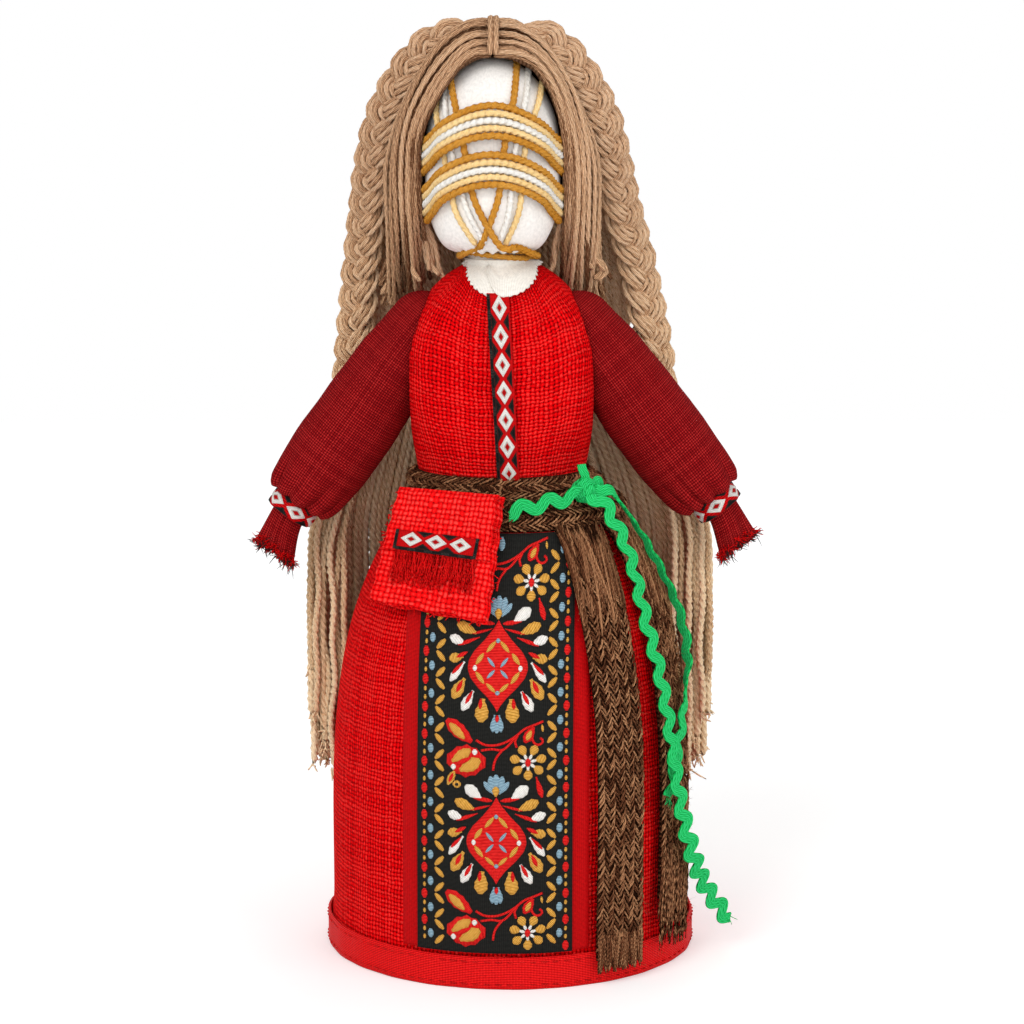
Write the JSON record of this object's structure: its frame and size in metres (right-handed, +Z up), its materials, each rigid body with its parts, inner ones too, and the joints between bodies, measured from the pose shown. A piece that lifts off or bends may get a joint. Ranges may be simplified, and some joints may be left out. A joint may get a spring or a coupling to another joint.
{
  "type": "motanka rag doll",
  "caption": "Wound rag doll with a stuffed burlap skirt and bodice, faceless yarn-cross head, corded hair with braids, swinging arms, woven sash, ribbon and hanging purse.",
  "frame": {"origin": "middle of the base disc's underside, on the surface that the doll stands on", "axes": "+Z up, the doll faces -Y, +X is to the right as seen from the front"},
  "size_m": [0.1688, 0.1265, 0.2997],
  "materials": {
    "burlap": "coarse open plain weave, matt red",
    "wine_cloth": "fine slubbed weave, matt wine red",
    "cream_cloth": "soft cotton, matt",
    "stuffing": "loose wadding and rolled cloth",
    "card": "plain card",
    "jacquard": "woven ribbon with a folk pattern",
    "red_ribbon": "ribbed tape",
    "ochre_yarn": "twisted yarn",
    "yellow_yarn": "twisted yarn",
    "white_yarn": "twisted yarn",
    "hair_cord": "twisted cotton cord, brown to tan",
    "wool": "braided wool, hairy",
    "green_ribbon": "wavy flat braid, slight sheen"
  },
  "bodies": {
    "doll": {"base_disc": "card", "core_roll": "stuffing", "skirt_shell": "burlap", "skirt_stuffing": "stuffing", "hem_band": "red_ribbon", "apron_backing": "red_ribbon", "apron_ribbon": "jacquard", "bodice_shell": "burlap", "torso_stuffing": "stuffing", "placket_trim": "jacquard", "neck_wrap": "cream_cloth", "collar_left": "cream_cloth", "collar_right": "cream_cloth", "head_cover": "cream_cloth", "head_stuffing": "stuffing", "face_strand_ochre_left": "ochre_yarn", "face_strand_white_left": "white_yarn", "face_strand_yellow_left": "yellow_yarn", "face_strand_ochre_right": "ochre_yarn", "face_strand_white_right": "white_yarn", "face_strand_yellow_right": "yellow_yarn", "face_yarn_ochre_top": "ochre_yarn", "face_yarn_yellow_top": "yellow_yarn", "face_yarn_white": "white_yarn", "face_yarn_yellow_bottom": "yellow_yarn", "face_yarn_ochre_bottom": "ochre_yarn", "neck_tie": "ochre_yarn", "hair_left": "hair_cord", "hair_right": "hair_cord", "parting_tie": "hair_cord", "side_lock_left": "hair_cord", "side_lock_right": "hair_cord", "sash_lower": "wool", "sash_upper": "wool", "ribbon_belt": "green_ribbon", "ribbon_knot": "green_ribbon"},
    "arm_left": {"sleeve_left": "wine_cloth", "arm_stuffing_left": "stuffing", "cuff_left": "jacquard", "hand_left": "wine_cloth"},
    "arm_right": {"sleeve_right": "wine_cloth", "arm_stuffing_right": "stuffing", "cuff_right": "jacquard", "hand_right": "wine_cloth"},
    "purse": {"purse_back": "burlap", "purse_front": "burlap"},
    "purse_flap": {"purse_flap": "burlap", "purse_trim": "jacquard", "purse_fringe": "burlap"},
    "sash_ends": {"sash_tail_front": "wool", "sash_tail_side": "wool", "ribbon_tail_long": "green_ribbon", "ribbon_tail_short": "green_ribbon"},
    "braid_left": {"braid_left": "hair_cord"},
    "braid_right": {"braid_right": "hair_cord"},
    "back_hair": {"back_hair_1": "hair_cord", "back_hair_2": "hair_cord", "back_hair_3": "hair_cord"}
  },
  "joints": [
    {"name": "arm_left_swing", "type": "hinge", "parent": "doll", "child": "arm_left", "pos_m": [-0.028, 0, 0.202], "axis": [0, 1, 0], "range_deg": [-5, 40]},
    {"name": "arm_right_swing", "type": "hinge", "parent": "doll", "child": "arm_right", "pos_m": [0.0224, 0, 0.202], "axis": [0, -1, 0], "range_deg": [-5, 40]},
    {"name": "purse_swing", "type": "hinge", "parent": "doll", "child": "purse", "pos_m": [-0.01545, -0.03032, 0.1545], "axis": [-0.891, 0.454, 0], "range_deg": [0, 30]},
    {"name": "purse_flap_turn", "type": "hinge", "parent": "purse", "child": "purse_flap", "pos_m": [-0.01678, -0.03292, 0.1558], "axis": [-0.891, 0.454, 0], "range_deg": [0, 105]},
    {"name": "sash_ends_swing", "type": "hinge", "parent": "doll", "child": "sash_ends", "pos_m": [0.0292, -0.0273, 0.152], "axis": [-0.682, -0.7314, 0], "range_deg": [0, 35]},
    {"name": "braid_left_swing", "type": "hinge", "parent": "doll", "child": "braid_left", "pos_m": [-0.0175, -0.003, 0.296], "axis": [0, 1, 0], "range_deg": [0, 15]},
    {"name": "braid_right_swing", "type": "hinge", "parent": "doll", "child": "braid_right", "pos_m": [0.0065, -0.003, 0.296], "axis": [0, -1, 0], "range_deg": [0, 15]},
    {"name": "back_hair_swing", "type": "hinge", "parent": "doll", "child": "back_hair", "pos_m": [-0.0055, 0.035, 0.247], "axis": [1, 0, 0], "range_deg": [0, 25]}
  ]
}
